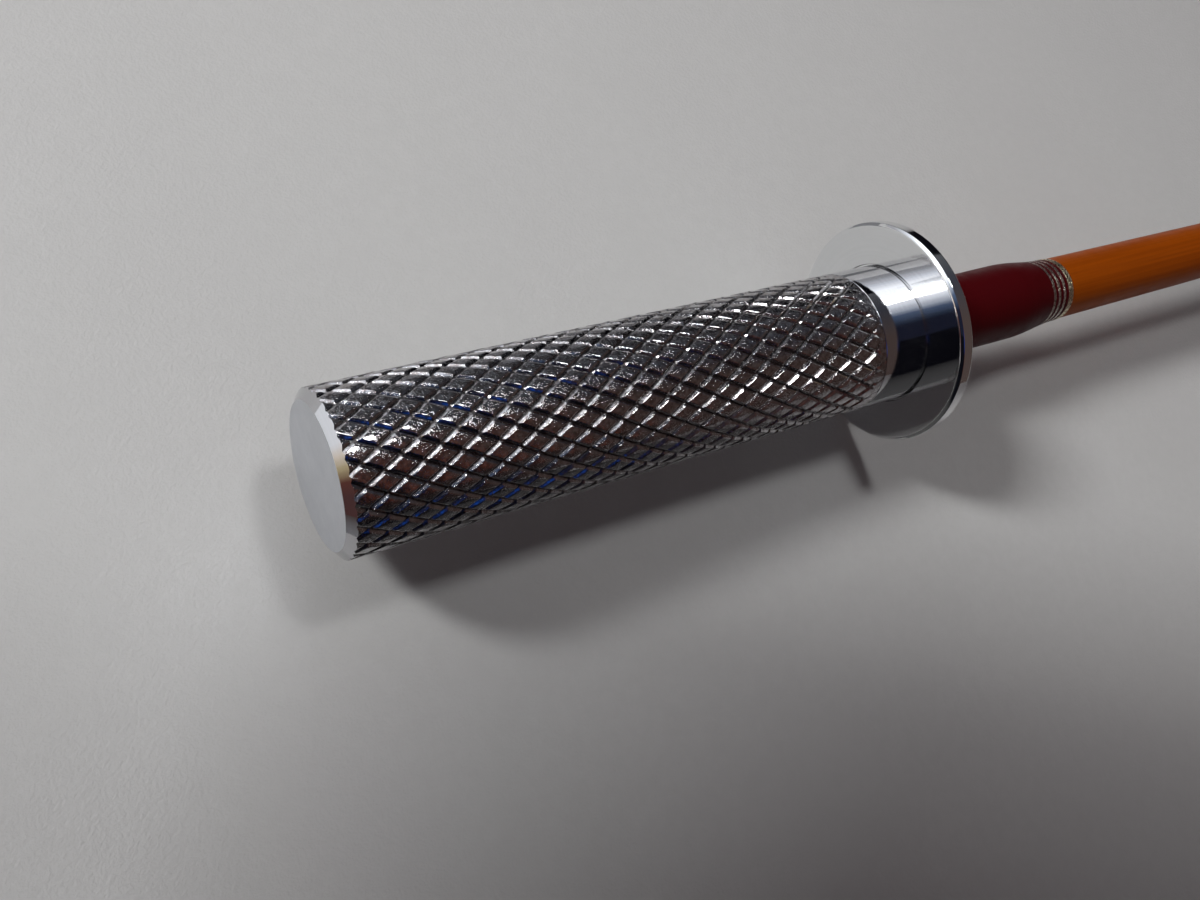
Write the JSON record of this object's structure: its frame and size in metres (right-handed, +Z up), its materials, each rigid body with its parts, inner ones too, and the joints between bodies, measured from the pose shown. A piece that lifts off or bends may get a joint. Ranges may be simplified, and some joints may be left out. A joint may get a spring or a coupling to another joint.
{
  "type": "knurled rod butt grip",
  "caption": "Chromed diamond-knurled grip with a hand-stop flange, screwed onto the whipped butt of an amber rod section whose open mouth takes the next section.",
  "frame": {"origin": "on the rod's axis, in the plane of the flange's front face where the grip's neck ends", "axes": "+X along the rod towards its tip, +Z up as the rod lies on a table"},
  "size_m": [0.1306, 0.0208, 0.0208],
  "materials": {
    "chrome_plate": "bright chrome plate on turned brass",
    "seal_rubber": "matt black rubber",
    "stud_steel": "cut thread, bare steel",
    "ferrule_brass": "turned, hidden under the whipping",
    "amber_rod": "amber lacquer over glass fibre",
    "maroon_thread": "silk thread under clear gloss lacquer",
    "silver_thread": "metallic thread under clear lacquer",
    "pale_gold_thread": "pale metallic thread under clear lacquer"
  },
  "bodies": {
    "grip": {"grip_barrel": "chrome_plate"},
    "seal": {"seal_ring": "seal_rubber"},
    "rod": {"threaded_stud": "stud_steel", "flange_disc": "chrome_plate", "ferrule": "ferrule_brass", "rod_blank": "amber_rod", "butt_whipping": "maroon_thread", "butt_trim_1": "silver_thread", "butt_spacer_1": "maroon_thread", "butt_trim_2": "silver_thread", "butt_spacer_2": "maroon_thread", "butt_trim_3": "silver_thread", "butt_spacer_3": "maroon_thread", "butt_end_band": "pale_gold_thread", "mouth_whipping": "maroon_thread", "mouth_trim_1": "silver_thread", "mouth_spacer_1": "maroon_thread", "mouth_trim_2": "silver_thread", "mouth_spacer_2": "maroon_thread", "mouth_trim_3": "silver_thread", "mouth_spacer_3": "maroon_thread", "mouth_end_band": "pale_gold_thread"}
  },
  "joints": [
    {"name": "rod_draw", "type": "slide", "parent": "grip", "child": "seal", "axis": [1, 0, 0], "range_m": [0, 0.01201]},
    {"name": "rod_unscrew", "type": "hinge", "parent": "seal", "child": "rod", "pos_m": [0, 0, 0], "axis": [1, 0, 0], "range_deg": [0, 4320]}
  ],
  "couplings": [
    {"joint": "rod_draw", "follows": "rod_unscrew", "m_per_rad": 0.00015915}
  ]
}
